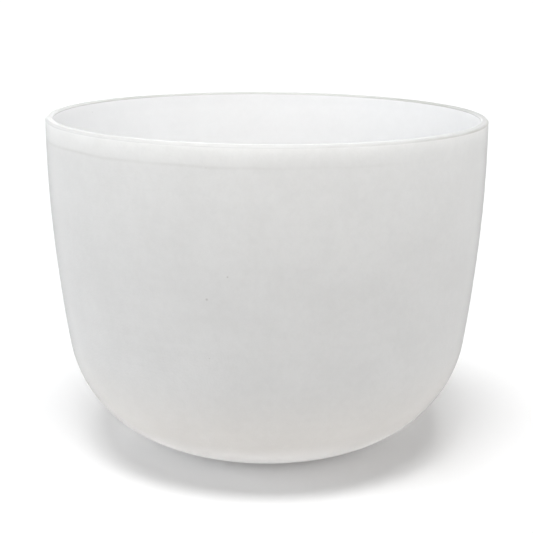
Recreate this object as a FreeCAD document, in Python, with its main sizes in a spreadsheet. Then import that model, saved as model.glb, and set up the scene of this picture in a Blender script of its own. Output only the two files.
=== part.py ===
"""Crystal singing bowl, a parametric FreeCAD model.

The bowl is one piece of fused quartz: a round vessel with nearly upright
sides, a generous shoulder, a domed bottom and a small flat foot.  Its section
is three arcs that run into one another without a corner:

    rim      upright where it starts, at the top
    side     a very large arc that leans in by side_lean on its way down
    shoulder the round corner between side and bottom
    bottom   a shallow dome that ends level, at the edge of the flat foot

Units are millimetres and degrees.  The origin is the centre of the foot, on
the surface that the bowl stands on, and +Z points up through the open mouth.
"""

import FreeCAD, Part
import math
import os

import Sketcher
from FreeCAD import Vector

FULL_TURN = 360.0
RIGHT_ANGLE = 90.0
EDGE_TOLERANCE = 1.0e-4

# Sketcher's names for the points of a line or an arc.
START, END, CENTRE = 1, 2, 3
# Sketcher's numbers for its own axes and their common origin.
HORIZONTAL_AXIS, VERTICAL_AXIS = -1, -2

# alias, value, what it is
SIZES = [
    ("rim_diameter", 305.0, "outer diameter at the rim, a nominal 12 inch bowl"),
    ("bowl_height", 232.0, "from the flat foot to the ground rim"),
    ("wall_thickness", 5.0, "thickness of the wall at the rim"),
    ("base_thickness", 6.0, "thickness of the bottom at the centre"),
    ("foot_diameter", 96.0, "flat spot that the bowl stands on"),
    ("shoulder_radius", 85.0, "outer radius of the corner between side and bottom"),
    ("side_lean", 7.8, "how far the side has turned from upright at the shoulder"),
    ("bottom_slope", 26.7, "angle of the bottom above level where the shoulder ends"),
    ("outer_bevel", 1.2, "ground bevel on the outer edge of the rim"),
    ("inner_bevel", 0.8, "ground bevel on the inner edge of the rim"),
]


def make_sheet(doc):
    """Write the driving sizes into a spreadsheet, one named cell each."""
    sheet = doc.addObject("Spreadsheet::Sheet", "sizes")
    for row, (alias, value, note) in enumerate(SIZES, start=1):
        sheet.set(f"A{row}", alias)
        sheet.set(f"B{row}", str(value))
        sheet.set(f"C{row}", note)
        sheet.setAlias(f"B{row}", alias)
    doc.recompute()
    return sheet


def origin_plane(body, role):
    """Return the plane of the body's own origin that has this role."""
    return next(item for item in body.Origin.OriginFeatures if item.Role == role)


def bowl_section(body, name, section):
    """Draw a closed half section in the body's XZ plane and drive its sizes.

    section maps each size of the section to an expression on the sheet:
    floor and rim_height are heights, foot_radius and rim_radius are distances
    from the axis, shoulder_radius is the corner's radius, and side_lean and
    bottom_slope are the turns of the side arc and of the bottom arc.  The
    radii of those two arcs follow from the rest.
    """
    sketch = body.newObject("Sketcher::SketchObject", name)
    sketch.AttachmentSupport = [(origin_plane(body, "XZ_Plane"), "")]
    sketch.MapMode = "FlatFace"

    size = {key: float(body.evalExpression(text)) for key, text in section.items()}
    lean = math.radians(size["side_lean"])
    slope = math.radians(RIGHT_ANGLE - size["bottom_slope"])
    floor, rim_height = size["floor"], size["rim_height"]
    foot, rim, shoulder = size["foot_radius"], size["rim_radius"], size["shoulder_radius"]

    # The two free radii make the three arcs span the height and the overhang.
    rise = rim_height - floor - shoulder * (math.sin(slope) - math.sin(lean))
    reach = rim - foot - shoulder * (math.cos(lean) - math.cos(slope))
    side_rise, side_reach = math.sin(lean), 1.0 - math.cos(lean)
    bottom_rise, bottom_reach = 1.0 - math.sin(slope), math.cos(slope)
    scale = side_rise * bottom_reach - side_reach * bottom_rise
    side = (rise * bottom_reach - reach * bottom_rise) / scale
    bottom = (reach * side_rise - rise * side_reach) / scale

    def outward(angle, radius):
        """Offset from an arc's centre to its point at this angle from upright."""
        return Vector(radius * math.cos(angle), -radius * math.sin(angle), 0.0)

    def arc(centre, radius, first, last):
        """Arc between two angles, each measured from upright, lower one first."""
        circle = Part.Circle(centre, Vector(0.0, 0.0, 1.0), radius)
        return Part.ArcOfCircle(circle, -first, -last)

    bottom_centre = Vector(foot, floor + bottom, 0.0)
    shoulder_centre = bottom_centre + outward(slope, bottom - shoulder)
    side_centre = Vector(rim - side, rim_height, 0.0)
    foot_line = sketch.addGeometry(
        Part.LineSegment(Vector(0.0, floor, 0.0), Vector(foot, floor, 0.0)))
    bottom_arc = sketch.addGeometry(
        arc(bottom_centre, bottom, math.radians(RIGHT_ANGLE), slope))
    shoulder_arc = sketch.addGeometry(arc(shoulder_centre, shoulder, slope, lean))
    side_arc = sketch.addGeometry(arc(side_centre, side, lean, 0.0))
    rim_line = sketch.addGeometry(
        Part.LineSegment(Vector(rim, rim_height, 0.0), Vector(0.0, rim_height, 0.0)))
    axis_line = sketch.addGeometry(
        Part.LineSegment(Vector(0.0, rim_height, 0.0), Vector(0.0, floor, 0.0)))

    for constraint in (
        ("Tangent", foot_line, END, bottom_arc, START),
        ("Tangent", bottom_arc, END, shoulder_arc, START),
        ("Tangent", shoulder_arc, END, side_arc, START),
        ("Coincident", side_arc, END, rim_line, START),
        ("Coincident", rim_line, END, axis_line, START),
        ("Coincident", axis_line, END, foot_line, START),
        ("Horizontal", foot_line),
        ("Horizontal", rim_line),
        ("Horizontal", side_arc, CENTRE, side_arc, END),
        ("PointOnObject", foot_line, START, VERTICAL_AXIS),
        ("Vertical", axis_line),
    ):
        sketch.addConstraint(Sketcher.Constraint(*constraint))

    origin = (HORIZONTAL_AXIS, START)
    driven = (
        ("floor", "DistanceY", (*origin, foot_line, START), floor),
        ("rim_height", "DistanceY", (*origin, rim_line, START), rim_height),
        ("foot_radius", "DistanceX", (*origin, foot_line, END), foot),
        ("rim_radius", "DistanceX", (*origin, rim_line, START), rim),
        ("shoulder_radius", "Radius", (shoulder_arc,), shoulder),
        ("side_lean", "Angle", (side_arc,), lean),
        ("bottom_slope", "Angle", (bottom_arc,), math.radians(size["bottom_slope"])),
    )
    for key, kind, where, value in driven:
        index = sketch.addConstraint(Sketcher.Constraint(kind, *where, value))
        sketch.renameConstraint(index, key)
        sketch.setExpression(f"Constraints.{key}", section[key])
    return sketch


def revolved(body, kind, name, sketch):
    """Turn a half section all the way round the bowl's axis."""
    feature = body.newObject(kind, name)
    feature.Profile = sketch
    feature.ReferenceAxis = (sketch, ["V_Axis"])
    feature.Angle = FULL_TURN
    body.Document.recompute()
    return feature


def rim_edge(feature, radius, height):
    """Name the feature's round edge that has this radius at this height."""
    for number, edge in enumerate(feature.Shape.Edges, start=1):
        curve = edge.Curve
        if not isinstance(curve, Part.Circle):
            continue
        same_radius = abs(curve.Radius - radius) < EDGE_TOLERANCE
        same_height = abs(curve.Center.z - height) < EDGE_TOLERANCE
        if same_radius and same_height:
            return f"Edge{number}"
    raise RuntimeError(f"{feature.Label} has no edge of radius {radius} at {height}")


def bevel(body, name, base, radius, height, size):
    """Grind an equal bevel on one edge of the rim; sizes are expressions."""
    feature = body.newObject("PartDesign::Chamfer", name)
    place = (float(body.evalExpression(text)) for text in (radius, height))
    feature.Base = (base, [rim_edge(base, *place)])
    feature.setExpression("Size", size)
    body.Document.recompute()
    return feature


def make_bowl(doc):
    """Build the bowl: outer form, hollow inside, then the two ground bevels."""
    body = doc.addObject("PartDesign::Body", "bowl")
    body.Label = "bowl"
    body.Placement = FreeCAD.Placement()

    rim_height = "sizes.bowl_height"
    outer_radius = "sizes.rim_diameter / 2"
    inner_radius = "sizes.rim_diameter / 2 - sizes.wall_thickness"

    outer = bowl_section(body, "outer_section", {
        "floor": "0",
        "rim_height": rim_height,
        "foot_radius": "sizes.foot_diameter / 2",
        "rim_radius": outer_radius,
        "shoulder_radius": "sizes.shoulder_radius",
        "side_lean": "sizes.side_lean",
        "bottom_slope": "sizes.bottom_slope",
    })
    revolved(body, "PartDesign::Revolution", "outer_form", outer)

    inner = bowl_section(body, "inner_section", {
        "floor": "sizes.base_thickness",
        "rim_height": rim_height,
        "foot_radius": "sizes.foot_diameter / 2",
        "rim_radius": inner_radius,
        "shoulder_radius": "sizes.shoulder_radius - sizes.wall_thickness",
        "side_lean": "sizes.side_lean",
        "bottom_slope": "sizes.bottom_slope",
    })
    hollow = revolved(body, "PartDesign::Groove", "inner_hollow", inner)

    outer_edge = bevel(body, "outer_edge_bevel", hollow, outer_radius, rim_height,
                       "sizes.outer_bevel")
    bevel(body, "inner_edge_bevel", outer_edge, inner_radius, rim_height,
          "sizes.inner_bevel")
    return body


def check(doc, bodies):
    """Stop before anything is written if any object failed to build."""
    for item in doc.Objects:
        failed = {"Invalid", "Error"} & set(item.State)
        if failed:
            raise RuntimeError(f"{item.Label} failed: {sorted(failed)}")
        if item.TypeId == "Sketcher::SketchObject" and item.solve() != 0:
            raise RuntimeError(f"{item.Label} does not solve")
    for body in bodies:
        shape = body.Shape
        if shape.isNull() or not shape.isValid() or len(shape.Solids) != 1:
            raise RuntimeError(f"{body.Label} is not one valid solid")


def main():
    """Build the document, check it and write each piece as a STEP file."""
    doc = FreeCAD.newDocument("singing_bowl")
    make_sheet(doc)
    bodies = [make_bowl(doc)]
    doc.recompute()
    check(doc, bodies)
    os.makedirs("parts", exist_ok=True)
    for body in bodies:
        body.Shape.exportStep(f"parts/{body.Label}.step")
        litres = body.Shape.Volume / 1.0e6
        print(f"{body.Label}: {litres:.3f} litres of quartz, {body.Shape.BoundBox}")


main()
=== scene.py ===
"""Looks for a frosted quartz singing bowl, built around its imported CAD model.

The bowl is one piece of milky fused quartz.  Its skin is turned here from the
same section as the CAD solid, at a finer grain: the slightly wavy wall of a
bowl made in a spinning mould, a rim cut and ground by hand, a worn foot.  All
lengths are metres, +Z is up and the bowl stands on Z = 0.
"""

import logging
import math
from dataclasses import dataclass
from enum import Enum, IntEnum
from typing import Iterator, NamedTuple, Sequence

import bpy
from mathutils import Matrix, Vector, noise


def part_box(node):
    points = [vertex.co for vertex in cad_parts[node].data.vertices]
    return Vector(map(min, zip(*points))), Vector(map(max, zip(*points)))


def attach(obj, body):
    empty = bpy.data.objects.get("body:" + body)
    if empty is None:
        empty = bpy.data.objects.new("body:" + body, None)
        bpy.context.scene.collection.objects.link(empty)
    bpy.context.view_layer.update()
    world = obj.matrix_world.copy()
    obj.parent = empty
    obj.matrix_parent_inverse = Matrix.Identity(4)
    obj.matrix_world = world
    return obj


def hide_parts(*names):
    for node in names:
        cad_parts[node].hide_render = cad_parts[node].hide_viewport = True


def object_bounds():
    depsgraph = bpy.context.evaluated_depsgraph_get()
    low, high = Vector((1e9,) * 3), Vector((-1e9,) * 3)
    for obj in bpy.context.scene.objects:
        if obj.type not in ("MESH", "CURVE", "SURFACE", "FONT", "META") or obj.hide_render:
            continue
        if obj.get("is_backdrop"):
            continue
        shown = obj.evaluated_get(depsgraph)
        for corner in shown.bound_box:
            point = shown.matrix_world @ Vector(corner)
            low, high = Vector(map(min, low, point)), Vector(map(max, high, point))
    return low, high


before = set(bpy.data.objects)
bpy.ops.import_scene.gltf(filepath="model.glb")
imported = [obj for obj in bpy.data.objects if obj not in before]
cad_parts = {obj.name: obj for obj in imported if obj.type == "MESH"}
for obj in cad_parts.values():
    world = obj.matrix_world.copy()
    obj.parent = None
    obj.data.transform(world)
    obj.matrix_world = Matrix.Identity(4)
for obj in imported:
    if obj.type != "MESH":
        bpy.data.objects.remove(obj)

log = logging.getLogger("singing_bowl")

MM = 0.001
SCATTER_REACH = 16 * MM
RIGHT_ANGLE = math.pi / 2.0
FULL_TURN = math.tau
Colour = tuple[float, float, float]
WHITE: Colour = (1.0, 1.0, 1.0)
Socket = bpy.types.NodeSocket
SocketValue = float | tuple[float, ...] | Socket


# --------------------------------------------------------------------------
# Node trees


class NodeTree:
    """A node tree, and the few moves that every finish makes in it."""

    def __init__(self, tree: bpy.types.NodeTree) -> None:
        """Start on an existing tree, which may be empty."""
        self.tree = tree

    @classmethod
    def of(cls, owner: bpy.types.Material | bpy.types.World) -> "NodeTree":
        """Give a material or a world nodes, and start on their empty tree."""
        owner.use_nodes = True
        owner.node_tree.nodes.clear()
        return cls(owner.node_tree)

    def feed(self, socket: Socket, value: SocketValue) -> None:
        """Link an input to the socket that it reads, or set its value."""
        if isinstance(value, bpy.types.NodeSocket):
            self.tree.links.new(value, socket)
        else:
            socket.default_value = value

    def add(
        self,
        kind: str,
        inputs: dict[str | int, SocketValue] | None = None,
        **settings: object,
    ) -> bpy.types.Node:
        """Add a node.

        Args:
            kind: the node's type name, without the ShaderNode prefix.
            inputs: what each input is set to, or the socket that it reads.
            settings: the node's own properties.

        Returns:
            The new node.
        """
        node = self.tree.nodes.new("ShaderNode" + kind)
        for name, value in settings.items():
            setattr(node, name, value)
        for key, value in (inputs or {}).items():
            self.feed(node.inputs[key], value)
        return node

    def math(self, operation: str, *values: SocketValue) -> Socket:
        """Combine numbers and return the result's socket."""
        return self.add("Math", dict(enumerate(values)), operation=operation).outputs[0]

    def weigh(self, terms: Sequence[tuple[SocketValue, float]]) -> Socket:
        """Add up numbers, each times its weight, and return the sum's socket."""
        total: SocketValue = 0.0
        for value, weight in terms:
            total = self.math("MULTIPLY_ADD", value, weight, total)
        return total

    def blend(self, share: SocketValue, first: SocketValue, second: SocketValue,
              mode: str = "MIX") -> Socket:
        """Blend two colours.

        Args:
            share: how much of the second colour there is, from 0 to 1.
            first: the colour underneath.
            second: the colour laid over it.
            mode: Blender's name for the way they are mixed.

        Returns:
            The blended colour's socket.
        """
        node = self.add("Mix", data_type="RGBA", blend_type=mode)
        sockets = (node.inputs[0], *node.inputs[6:8])
        for socket, value in zip(sockets, (share, first, second)):
            self.feed(socket, value)
        return node.outputs[2]

    def ramp(self, value: Socket, low: float, high: float, to_low: float = 0.0,
             to_high: float = 1.0) -> Socket:
        """Ease a number from one range into another.

        Args:
            value: the number that is read.
            low: where the change starts.
            high: where it ends.
            to_low: what low turns into.
            to_high: what high turns into.

        Returns:
            The eased number's socket, clamped to the new range.
        """
        inputs = {0: value, 1: low, 2: high, 3: to_low, 4: to_high}
        return self.add("MapRange", inputs, interpolation_type="SMOOTHSTEP").outputs[0]

    def attribute(self, mark: "Mark") -> Socket:
        """Read one of the marks that the mesh carries."""
        return self.add("Attribute", attribute_name=mark.value).outputs["Fac"]

    def place(self) -> Socket:
        """Read the point's own place on the bowl, in metres."""
        return self.add("TexCoord").outputs["Object"]


def opaque(colour: Colour) -> tuple[float, float, float, float]:
    """Give a colour the alpha that colour sockets want."""
    return (*colour, 1.0)


def clamp(value: float) -> float:
    """Keep a number between 0 and 1."""
    return max(0.0, min(1.0, value))


def bell(away: float) -> float:
    """Fall softly from 1 towards 0 with the distance from a line, in widths."""
    return math.exp(-away * away)


def ragged(place: Vector, mean: float, swing: float) -> float:
    """Vary a strength from place to place by up to its swing either way."""
    return mean + swing * noise.noise(place)


class Mark(Enum):
    """Masks that the mesh carries from its own shape to the finishes."""

    # Painted light near the rim: glow outside and on the rim, shade inside.
    RIM_GLOW = "rim_painted_light"
    ABOVE_FOOT = "above_foot"
    # Edge line, and painted shade over the rim behind.
    GROUND_EDGE = "ground_edge"
    # Groove below the rim, and painted shade along it.
    CUT_LINE = "cut_line"
    FOOT_RUB = "foot_rub"


class EffectGroup:
    """A node group with named inputs and outputs, built once and placed often."""

    name = ""
    numbers_in: dict[str, float] = {}
    numbers_out: tuple[str, ...] = ()

    def wire(self, sheet: NodeTree, source: bpy.types.Node, sink: bpy.types.Node) -> None:
        """Lay the nodes between the group's input node and its output node."""
        raise NotImplementedError

    def tree(self) -> bpy.types.NodeTree:
        """Return the group's tree, making it the first time."""
        found = bpy.data.node_groups.get(self.name)
        if found:
            return found
        made = bpy.data.node_groups.new(self.name, "ShaderNodeTree")
        made.interface.new_socket("Place", in_out="INPUT", socket_type="NodeSocketVector")
        for label, value in self.numbers_in.items():
            socket = made.interface.new_socket(
                label, in_out="INPUT", socket_type="NodeSocketFloat")
            socket.default_value = value
        for label in self.numbers_out:
            made.interface.new_socket(label, in_out="OUTPUT", socket_type="NodeSocketFloat")
        source = made.nodes.new("NodeGroupInput")
        sink = made.nodes.new("NodeGroupOutput")
        self.wire(NodeTree(made), source, sink)
        return made

    def put(self, sheet: NodeTree, **values: SocketValue) -> bpy.types.Node:
        """Place the group in a material.

        Args:
            sheet: the material's tree.
            values: the group's inputs, with _ for each space in a name.

        Returns:
            The group node.
        """
        inputs = {key.replace("_", " "): value for key, value in values.items()}
        inputs["Place"] = sheet.place()
        node = sheet.add("Group", node_tree=self.tree())
        for key, value in inputs.items():
            sheet.feed(node.inputs[key], value)
        return node


class QuartzCloud(EffectGroup):
    """Milkiness of fused quartz: soft clouds of fine bubbles, and a fine grain."""

    name = "quartz_cloud"
    numbers_in = {"Cloud Size": 30 * MM, "Mottle Size": 5 * MM, "Grain Size": 1.2 * MM}
    numbers_out = ("Cloud", "Mottle", "Grain")
    contrast = (0.28, 0.72)

    def wire(self, sheet: NodeTree, source: bpy.types.Node, sink: bpy.types.Node) -> None:
        """Lay one noise for each size of unevenness, each from 0 to 1."""
        layers = (("Cloud", 3.0, 0.55), ("Mottle", 4.0, 0.6), ("Grain", 2.0, 0.6))
        for label, detail, roughness in layers:
            scale = sheet.math("DIVIDE", 1.0, source.outputs[f"{label} Size"])
            texture = sheet.add("TexNoise", {
                "Vector": source.outputs["Place"],
                "Scale": scale,
                "Detail": detail,
                "Roughness": roughness,
            })
            sheet.feed(sink.inputs[label], sheet.ramp(texture.outputs["Fac"], *self.contrast))


class Specks(EffectGroup):
    """Scattered round spots, such as pits and burst bubbles in the skin."""

    name = "specks"
    numbers_in = {"Spacing": 12 * MM, "Radius": 0.7 * MM, "Share": 0.5}
    numbers_out = ("Spot",)
    smallest = 0.5
    soft_edge = 0.7

    def wire(self, sheet: NodeTree, source: bpy.types.Node, sink: bpy.types.Node) -> None:
        """Keep a share of a jittered grid's cells and draw a soft spot in each."""
        cells = sheet.add("TexVoronoi", {
            "Vector": source.outputs["Place"],
            "Scale": sheet.math("DIVIDE", 1.0, source.outputs["Spacing"]),
        }, feature="F1", distance="EUCLIDEAN")
        away = sheet.math("MULTIPLY", cells.outputs["Distance"], source.outputs["Spacing"])
        chance = sheet.add("SeparateColor", {0: cells.outputs["Color"]})
        radius = sheet.math("MULTIPLY", source.outputs["Radius"],
                            sheet.math("ADD", self.smallest, chance.outputs["Green"]))
        inside = sheet.math("SUBTRACT", 1.0, sheet.math("DIVIDE", away, radius))
        kept = sheet.math("LESS_THAN", chance.outputs["Red"], source.outputs["Share"])
        spot = sheet.ramp(inside, 0.0, self.soft_edge)
        sheet.feed(sink.inputs["Spot"], sheet.math("MULTIPLY", spot, kept))


class MouldRings(EffectGroup):
    """Faint level rings that the spinning mould leaves in the skin."""

    name = "mould_rings"
    numbers_in = {"Pitch": 6 * MM, "Wander": 2 * MM}
    numbers_out = ("Ring",)
    squeeze = (0.06, 0.06, 1.0)
    contrast = (0.3, 0.7)

    def wire(self, sheet: NodeTree, source: bpy.types.Node, sink: bpy.types.Node) -> None:
        """Stretch a noise a long way round the bowl and not at all up it."""
        squeezed = sheet.add("Mapping", {"Vector": source.outputs["Place"],
                                         "Scale": self.squeeze})
        texture = sheet.add("TexNoise", {
            "Vector": squeezed.outputs["Vector"],
            "Scale": sheet.math("DIVIDE", 1.0, source.outputs["Pitch"]),
            "Detail": 2.0,
            "Distortion": sheet.math("DIVIDE", source.outputs["Wander"],
                                     source.outputs["Pitch"]),
        })
        sheet.feed(sink.inputs["Ring"], sheet.ramp(texture.outputs["Fac"], *self.contrast))


# --------------------------------------------------------------------------
# Finishes


class Weights(NamedTuple):
    """How much each kind of unevenness counts."""

    cloud: float
    mottle: float
    grain: float
    ring: float


@dataclass(frozen=True)
class MilkyQuartz:
    """Frosted, milky quartz: what every face of the bowl is made of.

    The reaches are heights above the foot, as shares of foot_reach.  The
    weights say how much each kind of unevenness counts in the colour and in
    the relief, and the stain and shade strengths how far each mark takes over
    the colour.  Several colours are painted light: glow and shade near the rim
    and at the foot, a warm glow low down, and shade along the groove and on the
    rim behind.
    """

    name: str
    colour: Colour
    # Painted light near the rim: glow outside and on the rim, shade inside.
    rim_painted_light_colour: Colour
    # Painted light at the foot: glow outside, shade on the inner floor.
    painted_foot_light_colour: Colour
    # Painted warm glow low on the outer wall.
    painted_low_warmth: Colour
    # Edge line, and painted shade over the rim behind.
    edge_line_and_shade_colour: Colour
    # Pits and the rubbed foot, and painted shade along the groove.
    stain_and_shade_colour: Colour
    foot_reach: float
    tone_swing: float
    edge_shade: float
    pit_share: float
    roughness: float
    grain_height: float
    warm_reach: tuple[float, float] = (1.0, 2.5)
    pale_reach: tuple[float, float] = (0.15, 1.0)
    shade_reach: tuple[float, float] = (0.5, 1.5)
    turned_away: float = 0.75
    tone_weights: Weights = Weights(cloud=0.35, mottle=0.35, grain=0.2, ring=0.1)
    relief_weights: Weights = Weights(cloud=0.0, mottle=0.9, grain=1.0, ring=0.8)
    pit_depth: float = 1.5
    # Painted shade along the groove.
    groove_shade: float = 0.2
    rub_stain: float = 0.35
    pit_stain: float = 0.5
    gloss_swing: float = 0.05
    pit_roughness: float = 0.1

    def make(self) -> bpy.types.Material:
        """Build the material: colour, roughness and relief from the same effects."""
        material = bpy.data.materials.new(self.name)
        sheet = NodeTree.of(material)
        cloud = QuartzCloud().put(sheet)
        rings = MouldRings().put(sheet)
        pits = Specks().put(sheet, Share=self.pit_share).outputs["Spot"]
        shader = sheet.add("BsdfPrincipled", {
            "Base Color": self._colour(sheet, cloud, rings, pits),
            "Roughness": self._roughness(sheet, cloud, pits),
            "Normal": self._normal(sheet, cloud, rings, pits),
            "IOR": 1.46,
            "Specular IOR Level": 0.3,
            "Subsurface Weight": 1.0,
            "Subsurface Radius": (1.0, 1.0, 1.0),
            "Subsurface Scale": SCATTER_REACH,
        })
        output = sheet.add("OutputMaterial", {"Surface": shader.outputs["BSDF"]})
        output.is_active_output = True
        return material

    def _uneven(self, sheet: NodeTree, cloud: bpy.types.Node, rings: bpy.types.Node,
                weights: Weights) -> Socket:
        """Add up the four kinds of unevenness by their weights."""
        return sheet.weigh((
            (cloud.outputs["Cloud"], weights.cloud),
            (cloud.outputs["Mottle"], weights.mottle),
            (cloud.outputs["Grain"], weights.grain),
            (rings.outputs["Ring"], weights.ring),
        ))

    def _colour(self, sheet: NodeTree, cloud: bpy.types.Node, rings: bpy.types.Node,
                pits: Socket) -> Socket:
        """Lay the painted light at the rim and the foot, the painted warm glow, the clouds,
        the painted shade at the edges, on the rim and in the groove, the rubbed foot and the
        pits.
        """
        # Painted light near the rim: glow outside and on the rim, shade inside.
        tone = sheet.blend(sheet.attribute(Mark.RIM_GLOW), opaque(self.colour),
                           opaque(self.rim_painted_light_colour))
        height = sheet.attribute(Mark.ABOVE_FOOT)
        warm, pale, shade = (
            [share * self.foot_reach for share in reach]
            for reach in (self.warm_reach, self.pale_reach, self.shade_reach))
        # Painted warm glow low on the outer wall.
        tone = sheet.blend(sheet.ramp(height, *warm, 1.0, 0.0), tone,
                           opaque(self.painted_low_warmth), "MULTIPLY")
        # Painted light at the foot: glow outside, shade on the inner floor.
        tone = sheet.blend(sheet.ramp(height, *pale, 1.0, 0.0), tone,
                           opaque(self.painted_foot_light_colour))
        swing = self._uneven(sheet, cloud, rings, self.tone_weights)
        darker = sheet.ramp(swing, 0.0, 1.0, 1.0 - self.tone_swing, 1.0)
        tone = sheet.blend(1.0, tone, darker, "MULTIPLY")
        facing = sheet.add("LayerWeight", {"Blend": 0.5}).outputs["Facing"]
        turned = sheet.ramp(facing, self.turned_away, 1.0, 1.0, 1.0 - self.edge_shade)
        tone = sheet.blend(sheet.ramp(height, *shade), tone, turned, "MULTIPLY")
        # Edge line, and painted shade over the rim behind.
        tone = sheet.blend(sheet.attribute(Mark.GROUND_EDGE), tone, opaque(self.edge_line_and_shade_colour))
        # Painted shade along the groove; the rubbed foot and the pits are real marks.
        stains_and_shade = (
            (sheet.attribute(Mark.CUT_LINE), self.groove_shade),
            (sheet.attribute(Mark.FOOT_RUB), self.rub_stain),
            (pits, self.pit_stain),
        )
        for mark, strength in stains_and_shade:
            share = sheet.math("MULTIPLY", mark, strength)
            tone = sheet.blend(share, tone, opaque(self.stain_and_shade_colour))
        return tone

    def _roughness(self, sheet: NodeTree, cloud: bpy.types.Node, pits: Socket) -> Socket:
        """Vary the gloss with the mottle; pits are rougher still."""
        uneven = sheet.ramp(cloud.outputs["Mottle"], 0.0, 1.0,
                            self.roughness - self.gloss_swing,
                            self.roughness + self.gloss_swing)
        return sheet.math("MULTIPLY_ADD", pits, self.pit_roughness, uneven)

    def _normal(self, sheet: NodeTree, cloud: bpy.types.Node, rings: bpy.types.Node,
                pits: Socket) -> Socket:
        """Raise the mottle, the grain and the rings a little and sink the pits."""
        height = self._uneven(sheet, cloud, rings, self.relief_weights)
        height = sheet.math("MULTIPLY_ADD", pits, -self.pit_depth, height)
        bump = sheet.add("Bump", {
            "Height": height, "Strength": 1.0, "Distance": self.grain_height})
        return bump.outputs["Normal"]


@dataclass(frozen=True)
class PaperFloor:
    """The plain pale paper that the bowl stands on."""

    name: str = "studio_floor"
    colour: Colour = (0.96, 0.96, 0.96)

    def make(self) -> bpy.types.Material:
        """Build a plain matt white material."""
        material = bpy.data.materials.new(self.name)
        sheet = NodeTree.of(material)
        shader = sheet.add("BsdfPrincipled", {
            "Base Color": opaque(self.colour),
            "Roughness": 0.9,
            "Specular IOR Level": 0.1,
        })
        sheet.add("OutputMaterial", {"Surface": shader.outputs["BSDF"]})
        return material


OUTER_SKIN = MilkyQuartz(
    name="frosted_quartz_outside",
    colour=(0.565, 0.561, 0.555),
    rim_painted_light_colour=(0.70, 0.697, 0.682),
    painted_foot_light_colour=(0.92, 0.90, 0.885),
    painted_low_warmth=(1.0, 0.975, 0.95),
    edge_line_and_shade_colour=(0.45, 0.43, 0.32),
    stain_and_shade_colour=(0.30, 0.29, 0.27),
    foot_reach=36 * MM,
    tone_swing=0.06,
    edge_shade=0.24,
    pit_share=0.12,
    roughness=0.62,
    grain_height=0.05 * MM,
)
# Paler than the outside: partly a smoother inner finish, partly painted light for the glow
# through the back wall.
INNER_SKIN = MilkyQuartz(
    name="milky_quartz_inside",
    colour=(0.862, 0.861, 0.860),
    rim_painted_light_colour=(0.79, 0.79, 0.795),
    painted_foot_light_colour=(0.81, 0.81, 0.81),
    painted_low_warmth=WHITE,
    edge_line_and_shade_colour=(0.60, 0.59, 0.55),
    stain_and_shade_colour=(0.45, 0.43, 0.40),
    foot_reach=42 * MM,
    tone_swing=0.03,
    edge_shade=0.0,
    pit_share=0.08,
    roughness=0.45,
    grain_height=0.02 * MM,
)
# On the rim: painted glow in front and on the inner bevel, painted shade behind.
GROUND_RIM = MilkyQuartz(
    name="ground_quartz_rim",
    colour=(0.45, 0.45, 0.447),
    rim_painted_light_colour=(0.66, 0.658, 0.645),
    painted_foot_light_colour=(0.45, 0.45, 0.447),
    painted_low_warmth=WHITE,
    edge_line_and_shade_colour=(0.36, 0.352, 0.322),
    stain_and_shade_colour=(0.40, 0.38, 0.34),
    foot_reach=42 * MM,
    tone_swing=0.03,
    edge_shade=0.0,
    pit_share=0.08,
    roughness=0.6,
    grain_height=0.015 * MM,
)


# --------------------------------------------------------------------------
# The bowl


class Zone(IntEnum):
    """Parts of the bowl's surface, numbered as its material slots."""

    OUTSIDE = 0
    RIM = 1
    INSIDE = 2


FINISHES = {Zone.OUTSIDE: OUTER_SKIN, Zone.RIM: GROUND_RIM, Zone.INSIDE: INNER_SKIN}


class Ring(NamedTuple):
    """One level circle of the skin: its radius, height and zone."""

    radius: float
    height: float
    zone: Zone


@dataclass(frozen=True)
class Section:
    """Half section of one face of the wall: foot, bottom, shoulder and side.

    The bottom and side arcs have whatever radius lets all three arcs run into
    one another between the foot's edge and the rim.
    """

    rim_radius: float
    rim_height: float
    floor: float
    foot_radius: float
    shoulder_radius: float
    side_lean: float = math.radians(7.8)
    bottom_slope: float = math.radians(26.7)

    def free_radii(self) -> tuple[float, float]:
        """Return the radii of the bottom arc and the side arc."""
        lean, slope = self.side_lean, RIGHT_ANGLE - self.bottom_slope
        shoulder = self.shoulder_radius
        rise = (self.rim_height - self.floor
                - shoulder * (math.sin(slope) - math.sin(lean)))
        reach = (self.rim_radius - self.foot_radius
                 - shoulder * (math.cos(lean) - math.cos(slope)))
        side_rise, side_reach = math.sin(lean), 1.0 - math.cos(lean)
        low_rise, low_reach = 1.0 - math.sin(slope), math.cos(slope)
        scale = side_rise * low_reach - side_reach * low_rise
        side = (rise * low_reach - reach * low_rise) / scale
        bottom = (reach * side_rise - rise * side_reach) / scale
        return bottom, side

    def climb(self, spacing: float) -> Iterator[tuple[float, float]]:
        """Walk up the face from the centre of its floor to the rim.

        Args:
            spacing: the longest step between two points.

        Yields:
            The radius and height of each point.
        """
        bottom, side = self.free_radii()
        steps = math.ceil(self.foot_radius / spacing)
        for step in range(steps):
            yield self.foot_radius * step / steps, self.floor
        slope = RIGHT_ANGLE - self.bottom_slope
        arcs = (
            (bottom, RIGHT_ANGLE, slope),
            (self.shoulder_radius, slope, self.side_lean),
            (side, self.side_lean, 0.0),
        )
        radius, height = self.foot_radius, self.floor
        for size, first, last in arcs:
            steps = math.ceil(size * (first - last) / spacing)
            for step in range(steps):
                turn = first + (last - first) * step / steps
                yield (radius + size * (math.cos(turn) - math.cos(first)),
                       height + size * (math.sin(first) - math.sin(turn)))
            radius += size * (math.cos(last) - math.cos(first))
            height += size * (math.sin(first) - math.sin(last))
        yield radius, height


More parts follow.
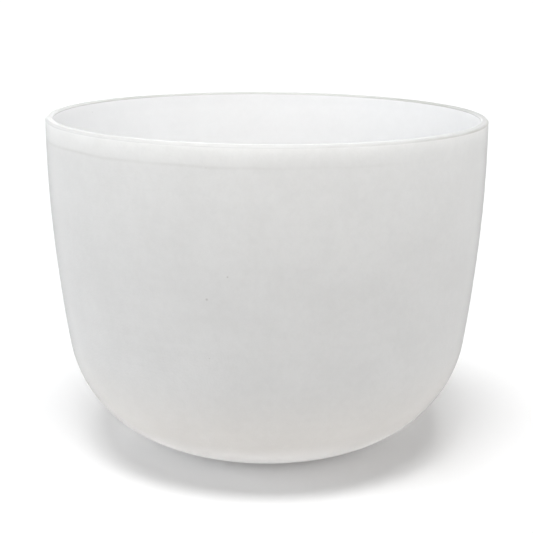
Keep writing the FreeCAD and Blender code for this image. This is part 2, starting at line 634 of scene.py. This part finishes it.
class SkinPoint(NamedTuple):
    """A point of the true skin, before the hand's and the mould's marks."""

    ring: Ring
    turn: float
    below: float

    @property
    def right(self) -> float:
        """How far to the right of the bowl it is, from -1 to 1."""
        return math.cos(self.turn)

    @property
    def rear(self) -> float:
        """How far to the rear of the bowl it is, from -1 to 1."""
        return math.sin(self.turn)

    def around(self, layer: float) -> Vector:
        """Return its place in a noise that runs once round the bowl."""
        return Vector((self.right, self.rear, layer))


class SkinMark:
    """A mask that the bowl's skin carries."""

    def strength(self, bowl: "QuartzBowl", point: SkinPoint) -> float:
        """Say how strong the mark is at a point, from 0 to 1.

        Args:
            bowl: the bowl that is marked.
            point: where on its skin.

        Returns:
            The strength.
        """
        raise NotImplementedError


class FootHeight(SkinMark):
    """The height above the foot, in metres, which the finishes turn into masks."""

    def strength(self, bowl: "QuartzBowl", point: SkinPoint) -> float:
        """Return the point's height."""
        return point.ring.height


@dataclass(frozen=True)
class CutLine(SkinMark):
    """A faint groove below the rim, with painted shade along it, which dies out towards the
    right.
    """

    depth: float = 13.5 * MM
    width: float = 0.9 * MM
    wander: float = 1.5 * MM
    waves: float = 4.0
    breaks: float = 6.0
    faded_side: float = math.radians(20.0)
    fade_in: float = 1.7
    layer: float = 4.0

    def strength(self, bowl: "QuartzBowl", point: SkinPoint) -> float:
        """Draw a soft wavy line that is uneven along its length."""
        if point.ring.zone is not Zone.OUTSIDE:
            return 0.0
        around = point.around(self.layer)
        wander = noise.noise(around * self.waves) * self.wander
        left = 0.5 - 0.5 * math.cos(point.turn + self.faded_side)
        uneven = ragged(around * self.breaks, mean=0.75, swing=0.7)
        line = bell((point.below - self.depth - wander) / self.width)
        return line * clamp(min(1.0, self.fade_in * left) * uneven)


@dataclass(frozen=True)
class RimPaintedLight(SkinMark):
    """Light that enters at the rim and glows out of the wall around it.

    The mask paints this light into the colour: painted glow outside and on the
    rim, painted shade inside near the rim behind.  On the ground rim itself it
    is strongest in front, and on the inner bevel everywhere but on the right.
    Inside it lies only behind.  Outside it fades down to the groove below the
    rim, where a faint step is left, and a weaker glow goes on below.
    """

    depth: float = 13.5 * MM
    fall: float = 1.15
    step: float = 0.2
    step_width: float = 0.9 * MM
    tail: float = 0.2
    tail_depth: float = 90.0 * MM
    shorter_on_right: float = 0.25
    weaker_at_sides: float = 0.4
    weaker_on_right: float = 0.25
    on_outer_bevel: float = 0.75

    def strength(self, bowl: "QuartzBowl", point: SkinPoint) -> float:
        """Choose the painted light of the point's zone."""
        if point.ring.zone is Zone.RIM:
            return self._on_rim(bowl, point)
        right = 0.5 + 0.5 * point.right
        reach = self.depth * (1.0 - self.shorter_on_right * right)
        fading = max(0.0, 1.0 - point.below / reach) ** self.fall
        if point.ring.zone is Zone.INSIDE:
            return fading * max(0.0, point.rear)
        past_line = min(60.0, (point.below - self.depth) / self.step_width)
        lasting = self.tail * max(0.0, 1.0 - point.below / self.tail_depth)
        lasting += self.step * (1.0 - right) / (1.0 + math.exp(past_line))
        fading *= (1.0 - self.weaker_at_sides * abs(point.right)
                   - self.weaker_on_right * max(0.0, point.right))
        return lasting + (1.0 - lasting) * fading

    def _on_rim(self, bowl: "QuartzBowl", point: SkinPoint) -> float:
        """Tell the inner bevel, the flat land and the outer bevel apart."""
        if point.ring.radius < bowl.rim_radius - bowl.wall + bowl.inner_bevel:
            return max(abs(point.rear), -point.right)
        front = max(0.0, -point.rear)
        land = point.ring.radius < bowl.rim_radius - bowl.outer_bevel
        return front if land else front * self.on_outer_bevel


@dataclass(frozen=True)
class EdgeLineAndShade(SkinMark):
    """A darker line on the ground edge, and painted shade behind.

    In front it is a thin darker line on the outer bevel's lower corner, clear
    only towards the right.  Behind, painted shade spreads over the whole rim.
    """

    width: float = 0.5 * MM
    least: float = 0.07
    sharpening: float = 1.4
    breaks: float = 9.0
    spread: float = 0.42
    spread_on_right: float = 0.4
    spread_at_sides: float = 0.1
    spread_to_rear: float = 1.6
    layer: float = 1.0

    def strength(self, bowl: "QuartzBowl", point: SkinPoint) -> float:
        """Take the stronger of the front line and the painted shade behind."""
        corner = Vector((bowl.rim_radius, bowl.height - bowl.outer_bevel))
        away = (Vector((point.ring.radius, point.ring.height)) - corner).length
        right = max(0.0, point.right)
        shown = self.least + (1.0 - self.least) * right ** self.sharpening
        uneven = ragged(point.around(self.layer) * self.breaks, mean=0.85, swing=0.4)
        line = bell(away / self.width) * shown * uneven
        if point.ring.zone is not Zone.RIM:
            return clamp(line)
        # Painted shade spread over the rim behind.
        behind = clamp(self.spread_at_sides + self.spread_to_rear * point.rear)
        spread = behind * (self.spread + self.spread_on_right * right ** 3)
        return clamp(max(line, spread))


@dataclass(frozen=True)
class FootRub(SkinMark):
    """The rubbed ring where the bowl stands."""

    width: float = 9.0 * MM
    height: float = 2.0 * MM
    breaks: float = 5.0
    layer: float = 2.0

    def strength(self, bowl: "QuartzBowl", point: SkinPoint) -> float:
        """Draw an uneven soft ring on the edge of the foot."""
        if point.ring.zone is not Zone.OUTSIDE or point.ring.height > self.height:
            return 0.0
        around = point.around(self.layer) * self.breaks * point.ring.radius
        uneven = ragged(around / bowl.foot_radius, mean=0.7, swing=0.6)
        return bell((point.ring.radius - bowl.foot_radius) / self.width) * clamp(uneven)


MARKS: dict[Mark, SkinMark] = {
    Mark.RIM_GLOW: RimPaintedLight(),
    Mark.ABOVE_FOOT: FootHeight(),
    Mark.GROUND_EDGE: EdgeLineAndShade(),
    Mark.CUT_LINE: CutLine(),
    Mark.FOOT_RUB: FootRub(),
}


@dataclass
class QuartzBowl:
    """The bowl: its sizes, its skin and what its skin is made of."""

    name: str = "quartz_bowl"
    node: str = "bowl"
    wall: float = 5.0 * MM
    base: float = 6.0 * MM
    foot_radius: float = 48.0 * MM
    shoulder_radius: float = 85.0 * MM
    outer_bevel: float = 1.2 * MM
    inner_bevel: float = 0.8 * MM
    edge_round: float = 0.3 * MM
    around: int = 288
    spacing: float = 2.8 * MM
    fine_spacing: float = 0.5 * MM
    fine_depth: float = 16.0 * MM
    round_steps: int = 4
    cut_sink: float = 0.05 * MM
    rim_tilt: float = math.radians(0.43)
    rear_rise: float = 1.2 * MM
    draw: float = 0.85 * MM
    draw_depth: float = 65.0 * MM
    draw_power: float = 1.3
    wave: float = 0.25 * MM
    wave_size: float = 70.0 * MM
    calm_height: float = 12.0 * MM
    chip: float = 0.06 * MM
    chips_around: float = 26.0

    def __post_init__(self) -> None:
        """Take the outer size from the CAD node that the skin stands for."""
        low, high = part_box(self.node)
        self.rim_radius = (high.x - low.x) / 2.0
        self.height = high.z - low.z

    def outer_section(self) -> Section:
        """Return the section of the outer face."""
        return Section(self.rim_radius, self.height, 0.0, self.foot_radius,
                       self.shoulder_radius)

    def inner_section(self) -> Section:
        """Return the section of the inner face."""
        return Section(self.rim_radius - self.wall, self.height, self.base,
                       self.foot_radius, self.shoulder_radius - self.wall)

    def rings(self) -> list[Ring]:
        """List the skin's rings from under the foot, over the rim, to the floor."""
        outside = [Ring(r, z, Zone.OUTSIDE) for r, z in self._face(
            self.outer_section(), self.outer_bevel)]
        inside = [Ring(r, z, Zone.INSIDE) for r, z in self._face(
            self.inner_section(), self.inner_bevel)]
        return outside + self._rim() + inside[::-1]

    def _face(self, section: Section, bevel: float) -> list[tuple[float, float]]:
        """Walk up one face, with closer steps near the rim, to its bevel."""
        top = self.height - bevel - self.edge_round
        fine = self.height - self.fine_depth
        coarse = [p for p in section.climb(self.spacing) if p[1] < fine]
        close = [p for p in section.climb(self.fine_spacing) if fine <= p[1] < top]
        return coarse + close

    def _rim(self) -> list[Ring]:
        """Cross the rim: outer bevel, flat land and inner bevel, softly rounded."""
        outer, inner = self.rim_radius, self.rim_radius - self.wall
        corners = [
            Vector((outer, self.height - self.outer_bevel)),
            Vector((outer - self.outer_bevel, self.height)),
            Vector((inner + self.inner_bevel, self.height)),
            Vector((inner, self.height - self.inner_bevel)),
        ]
        before = Vector((outer, self.height - self.outer_bevel - self.spacing))
        after = Vector((inner, self.height - self.inner_bevel - self.spacing))
        path = [before, *corners, after]
        rings = []
        for last, corner, following in zip(path, path[1:], path[2:]):
            start = corner + (last - corner).normalized() * self.edge_round
            end = corner + (following - corner).normalized() * self.edge_round
            for step in range(self.round_steps + 1):
                share = step / self.round_steps
                point = (start * (1 - share) ** 2 + corner * 2 * share * (1 - share)
                         + end * share ** 2)
                rings.append(Ring(point.x, point.y, Zone.RIM))
            gap = (following - corner).length - 2 * self.edge_round
            if corner is corners[1]:
                steps = math.ceil(gap / self.fine_spacing)
                for step in range(1, steps):
                    point = end + (following - corner).normalized() * gap * step / steps
                    rings.append(Ring(point.x, point.y, Zone.RIM))
        return rings

    def point(self, ring: Ring, turn: float) -> SkinPoint:
        """Name the point of a ring at this angle round the bowl."""
        return SkinPoint(ring, turn, self.height - ring.height)

    def place(self, point: SkinPoint) -> Vector:
        """Put a point where the hand-made skin really is.

        Args:
            point: the point on its true circle.

        Returns:
            Its place, moved by the wall's waves, the draw near the rim, the
            cut line, the rim's small chips and the slope of the rim.
        """
        ring = point.ring
        way = point.around(0.0)
        place = way * ring.radius + Vector((0.0, 0.0, ring.height))
        place += way * self._wave(place, ring)
        near_rim = max(0.0, 1.0 - point.below / self.draw_depth)
        place -= way * self.draw * near_rim ** self.draw_power
        if ring.zone is Zone.OUTSIDE:
            place -= way * self.cut_sink * MARKS[Mark.CUT_LINE].strength(self, point)
        if ring.zone is Zone.RIM:
            chip = noise.noise(way * self.chips_around + Vector((7.0, 0.0, 0.0)))
            place += way * chip * self.chip
        place.z += self._slope(place, ring)
        return place

    def _wave(self, place: Vector, ring: Ring) -> float:
        """Say how far the wall swells outwards; the foot stays true."""
        swell = noise.noise(place / self.wave_size) + 0.4 * noise.noise(
            place * 3.0 / self.wave_size)
        calm = min(1.0, ring.height / self.calm_height) if ring.zone is Zone.OUTSIDE else 1.0
        return (swell - 0.6) * self.wave * 0.5 * calm

    def _slope(self, place: Vector, ring: Ring) -> float:
        """Say how far the sloping rim moves a place up; the lower half stays."""
        share = max(0.0, ring.height / self.height - 0.5) * 2.0
        lean = math.tan(self.rim_tilt) * (place.x + self.rim_radius)
        rise = self.rear_rise * 0.5 * (1.0 + place.y / self.rim_radius)
        return (rise - lean) * share * share

    def build(self) -> bpy.types.Object:
        """Turn the skin and give it its marks.

        Returns:
            The bowl's object, one closed mesh.
        """
        rings = self.rings()
        turns = [FULL_TURN * i / self.around for i in range(self.around)]
        points = [self.point(rings[0], 0.0)]
        points += [self.point(ring, turn) for ring in rings[1:-1] for turn in turns]
        points.append(self.point(rings[-1], 0.0))
        faces, zones = self._faces(rings)
        mesh = bpy.data.meshes.new(self.name)
        mesh.from_pydata([self.place(point) for point in points], [], faces)
        mesh.polygons.foreach_set("material_index", zones)
        mesh.shade_smooth()
        for mark, kind in MARKS.items():
            layer = mesh.attributes.new(mark.value, "FLOAT", "POINT")
            layer.data.foreach_set("value", [kind.strength(self, p) for p in points])
        mesh.validate()
        bowl = bpy.data.objects.new(self.name, mesh)
        bpy.context.scene.collection.objects.link(bowl)
        return bowl

    def _faces(self, rings: list[Ring]) -> tuple[list[tuple[int, ...]], list[Zone]]:
        """Join the rings' points, with a fan at the first and the last ring.

        Args:
            rings: the skin's rings; the first and the last are single points.

        Returns:
            Each face's points, and each face's zone.
        """
        count = self.around
        last = 1 + count * (len(rings) - 2)
        faces: list[tuple[int, ...]] = []
        zones: list[Zone] = []
        for i in range(count):
            j = (i + 1) % count
            faces += [(0, 1 + j, 1 + i), (last, last - count + i, last - count + j)]
            zones += [Zone.OUTSIDE, Zone.INSIDE]
        for step, (lower, upper) in enumerate(zip(rings[1:-1], rings[2:-1])):
            base = 1 + step * count
            zone = Zone.RIM if Zone.RIM in (lower.zone, upper.zone) else lower.zone
            for i in range(count):
                j = (i + 1) % count
                faces.append((base + i, base + j, base + count + j, base + count + i))
                zones.append(zone)
        return faces, zones

    def dress(self, bowl: bpy.types.Object) -> None:
        """Give each zone of the skin its finish."""
        for zone in Zone:
            bowl.data.materials.append(FINISHES[zone].make())

    def make(self) -> bpy.types.Object:
        """Build and dress the bowl and let it stand for its CAD node."""
        bowl = self.build()
        self.dress(bowl)
        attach(bowl, "root")
        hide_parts(self.node)
        log.info("%s: %d faces", bowl.name, len(bowl.data.polygons))
        return bowl


# --------------------------------------------------------------------------
# The studio


@dataclass(frozen=True)
class SoftLamp:
    """A large soft lamp, so far away that its light is even over the floor.

    The turn is 0 for a lamp on the camera's side, and grows towards its left.
    """

    name: str
    turn: float
    rise: float
    spread: float
    strength: float
    colour: Colour = WHITE
    away: float = 2.0

    def make(self) -> bpy.types.Object:
        """Hang the lamp and let it shine down towards the bowl."""
        lamp = bpy.data.lights.new(self.name, "SUN")
        lamp.energy = self.strength
        lamp.angle = math.radians(self.spread)
        lamp.color = self.colour
        turn, rise = math.radians(self.turn), math.radians(self.rise)
        way = Vector((-math.sin(turn) * math.cos(rise), -math.cos(turn) * math.cos(rise),
                      math.sin(rise)))
        held = bpy.data.objects.new(self.name, lamp)
        held.location = way * self.away
        held.rotation_mode = "QUATERNION"
        held.rotation_quaternion = way.to_track_quat("Z", "Y")
        bpy.context.scene.collection.objects.link(held)
        return held


@dataclass
class Studio:
    """Pale floor, soft lamps, white room and camera."""

    floor_radius: float = 30.0
    floor_sides: int = 96
    floor_drop: float = 0.02 * MM
    room_strength: float = 1.15
    room_top: float = 0.5
    room_blur: float = 0.1
    camera_distance: float = 762.5 * MM
    camera_rise: float = 86.3 * MM
    camera_side: float = -0.3 * MM
    camera_pitch: float = math.radians(14.48)
    camera_lens: float = 73.68
    camera_sensor: float = 36.0
    camera_reach: tuple[float, float] = (0.01, 200.0)
    lamps: Sequence[SoftLamp] = (
        SoftLamp("overhead_left", 36.0, 76.0, 20.0, 1.15),
        SoftLamp("overhead_right", 335.0, 76.0, 20.0, 1.05),
        SoftLamp("low_front", 0.0, 15.0, 30.0, 0.35),
        SoftLamp("low_left", 85.0, 15.0, 30.0, 0.5, (0.80, 0.90, 1.0)),
        SoftLamp("low_behind", 170.0, 15.0, 30.0, 0.75),
    )

    def make_floor(self) -> None:
        """Lay the floor just under the bowl's foot."""
        turns = [FULL_TURN * i / self.floor_sides for i in range(self.floor_sides)]
        rim = [Vector((math.cos(turn), math.sin(turn), 0.0)) * self.floor_radius
               for turn in turns]
        mesh = bpy.data.meshes.new("studio_floor")
        mesh.from_pydata(rim, [], [tuple(range(self.floor_sides))])
        floor = bpy.data.objects.new("studio_floor", mesh)
        floor.location.z = -self.floor_drop
        mesh.materials.append(PaperFloor().make())
        bpy.context.scene.collection.objects.link(floor)
        floor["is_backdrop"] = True
        log.info("%s laid", floor.name)

    def make_room(self) -> None:
        """Light the room from its pale walls, and show it as plain white."""
        world = bpy.data.worlds.new("studio_room")
        sheet = NodeTree.of(world)
        height = sheet.add("SeparateXYZ", {
            0: sheet.add("TexCoord").outputs["Generated"]}).outputs["Z"]
        strength = sheet.ramp(height, self.room_top - self.room_blur,
                              self.room_top + self.room_blur, self.room_strength, 0.0)
        lit = sheet.add("Background", {"Color": opaque(WHITE), "Strength": strength})
        seen = sheet.add("Background", {"Color": opaque(WHITE), "Strength": 1.0})
        path = sheet.add("LightPath")
        mix = sheet.add("MixShader", {0: path.outputs["Is Camera Ray"],
                                      1: lit.outputs[0], 2: seen.outputs[0]})
        sheet.add("OutputWorld", {"Surface": mix.outputs[0]})
        bpy.context.scene.world = world
        log.info("%s lit", world.name)

    def make_lamps(self) -> None:
        """Hang every lamp."""
        for lamp in self.lamps:
            lamp.make()
            log.info("%s hung", lamp.name)

    def make_camera(self, rim_height: float) -> None:
        """Stand the camera in front of the bowl, looking down into its mouth."""
        data = bpy.data.cameras.new("camera")
        data.sensor_width = self.camera_sensor
        data.lens = self.camera_lens
        data.clip_start, data.clip_end = self.camera_reach
        camera = bpy.data.objects.new("camera", data)
        camera.location = (self.camera_side, -self.camera_distance,
                           rim_height + self.camera_rise)
        camera.rotation_euler = (RIGHT_ANGLE - self.camera_pitch, 0.0, 0.0)
        bpy.context.scene.collection.objects.link(camera)
        bpy.context.scene.camera = camera
        log.info("%s placed", camera.name)

    def make(self, rim_height: float) -> None:
        """Build the whole studio round a bowl of this height."""
        self.make_floor()
        self.make_room()
        self.make_lamps()
        self.make_camera(rim_height)
        view = bpy.context.scene.view_settings
        view.view_transform = "Standard"
        view.look = "None"
        view.exposure, view.gamma = 0.0, 1.0


def corners(box: tuple[Vector, Vector]) -> list[list[float]]:
    """Return a box's two corners as plain lists of numbers."""
    return [list(corner) for corner in box]


def main() -> None:
    """Build the bowl, then the studio."""
    logging.basicConfig(level=logging.INFO, format="%(name)s: %(message)s")
    cad_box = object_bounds()
    QuartzBowl().make()
    Studio().make(cad_box[1].z)
    {"cad": corners(cad_box), "visual": corners(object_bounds())}


if __name__ == "__main__":
    main()
